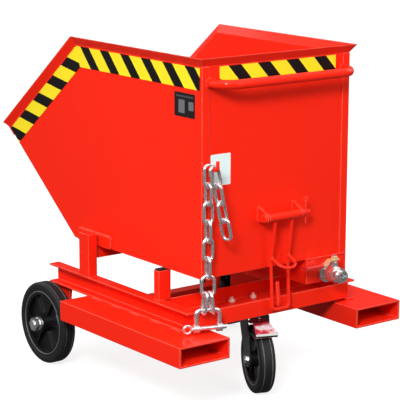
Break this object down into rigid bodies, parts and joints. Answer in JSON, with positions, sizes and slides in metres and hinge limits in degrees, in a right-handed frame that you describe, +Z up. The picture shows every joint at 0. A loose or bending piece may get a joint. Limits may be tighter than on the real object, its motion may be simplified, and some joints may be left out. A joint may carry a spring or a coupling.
{
  "type": "tipping skip trolley",
  "caption": "Red sheet-steel tipping skip on a wheeled chassis with fork pockets, a self-closing latch bail, drain valve, safety chain and braked castor",
  "frame": {"origin": "on the floor under the middle of the bounding box", "axes": "+X the way the skip tips, +Y its left side, +Z up"},
  "size_m": [1.11, 0.812, 1],
  "materials": {
    "red_paint": "satin powder coat",
    "zinc": "zinc plated",
    "castor_steel": "satin dark grey",
    "tyre": "matte",
    "rim": "matte",
    "buffer": "matte",
    "bronze": "plain",
    "grip": "gloss"
  },
  "bodies": {
    "chassis": {"channel_left": "red_paint", "channel_right": "red_paint", "fork_pocket_left": "red_paint", "fork_pocket_right": "red_paint", "rear_cross_member": "red_paint", "front_cross_tube": "red_paint", "pivot_post_left": "red_paint", "pivot_post_right": "red_paint", "pivot_bushes": "bronze", "rest_post_left": "red_paint", "rest_post_right": "red_paint", "rest_buffers": "buffer", "axle_bracket_left": "red_paint", "axle_bracket_right": "red_paint", "wheel_axle": "zinc", "axle_spacers": "zinc", "axle_nuts": "zinc", "latch_catch": "red_paint", "castor_top_plate": "castor_steel", "castor_kingpin": "zinc", "castor_bolts": "zinc"},
    "skip": {"skip_side_left": "red_paint", "skip_side_right": "red_paint", "skip_rear_wall": "red_paint", "skip_floor": "red_paint", "lip_stiffener": "red_paint", "floor_cross_tube": "red_paint", "hinge_plate_left": "red_paint", "hinge_plate_right": "red_paint", "pivot_pins": "zinc", "push_handle": "red_paint", "latch_lugs": "red_paint", "latch_pin": "red_paint", "latch_split_pin": "red_paint", "drain_sump": "red_paint", "drain_flange": "zinc", "valve_body": "zinc", "chain_hooks": "red_paint"},
    "latch_bail": {"latch_bail": "red_paint"},
    "valve_lever": {"valve_ball": "zinc", "valve_lever": "zinc", "lever_grip": "grip"},
    "chain": {"chain_strand": "zinc", "chain_legs": "zinc"},
    "shackle": {"shackle_bow": "zinc", "shackle_pin": "zinc"},
    "chain_tail": {"chain_tail": "zinc"},
    "front_wheel_left": {"front_wheel_left_tyre": "tyre", "front_wheel_left_rim": "rim", "front_wheel_left_bush": "bronze"},
    "front_wheel_right": {"front_wheel_right_tyre": "tyre", "front_wheel_right_rim": "rim", "front_wheel_right_bush": "bronze"},
    "castor_fork": {"castor_fork": "castor_steel", "castor_axle": "zinc"},
    "castor_wheel": {"castor_wheel_tyre": "tyre", "castor_wheel_rim": "rim", "castor_wheel_bush": "bronze"},
    "brake_pedal": {"brake_pedal": "red_paint"}
  },
  "joints": [
    {"name": "skip_tilt", "type": "hinge", "parent": "chassis", "child": "skip", "pos_m": [0.053, 0, 0.406], "axis": [0, 1, 0], "range_deg": [0, 70]},
    {"name": "bail_swing", "type": "hinge", "parent": "skip", "child": "latch_bail", "pos_m": [-0.5, 0, 0.538], "axis": [0, 1, 0], "range_deg": [-2.57, 65]},
    {"name": "valve_turn", "type": "hinge", "parent": "skip", "child": "valve_lever", "pos_m": [-0.504, -0.19, 0.382], "axis": [0, 0, 1], "range_deg": [0, 90]},
    {"name": "chain_swing", "type": "hinge", "parent": "skip", "child": "chain", "pos_m": [-0.489, 0.2605, 0.702], "axis": [1, 0, 0], "range_deg": [0, 50]},
    {"name": "shackle_swing", "type": "hinge", "parent": "chain", "child": "shackle", "pos_m": [-0.489, 0.2605, 0.30571], "axis": [0.2924, 0.9563, 0], "range_deg": [0, 60]},
    {"name": "tail_swing", "type": "hinge", "parent": "skip", "child": "chain_tail", "pos_m": [-0.514, 0.2605, 0.702], "axis": [-1, 0, 0], "range_deg": [0, 35]},
    {"name": "front_wheel_left_spin", "type": "hinge", "parent": "chassis", "child": "front_wheel_left", "pos_m": [0.2, 0.348, 0.125], "axis": [0, 1, 0], "continuous": true},
    {"name": "front_wheel_right_spin", "type": "hinge", "parent": "chassis", "child": "front_wheel_right", "pos_m": [0.2, -0.348, 0.125], "axis": [0, 1, 0], "continuous": true},
    {"name": "castor_swivel", "type": "hinge", "parent": "chassis", "child": "castor_fork", "pos_m": [-0.369, 0, 0.2297], "axis": [0, 0, 1], "continuous": true},
    {"name": "castor_wheel_spin", "type": "hinge", "parent": "castor_fork", "child": "castor_wheel", "pos_m": [-0.41194, 0.01648, 0.1], "axis": [0.3584, 0.9336, 0], "continuous": true},
    {"name": "brake_press", "type": "hinge", "parent": "castor_fork", "child": "brake_pedal", "pos_m": [-0.39887, 0.01147, 0.2097], "axis": [-0.3584, -0.9336, 0], "range_deg": [0, 7]}
  ]
}
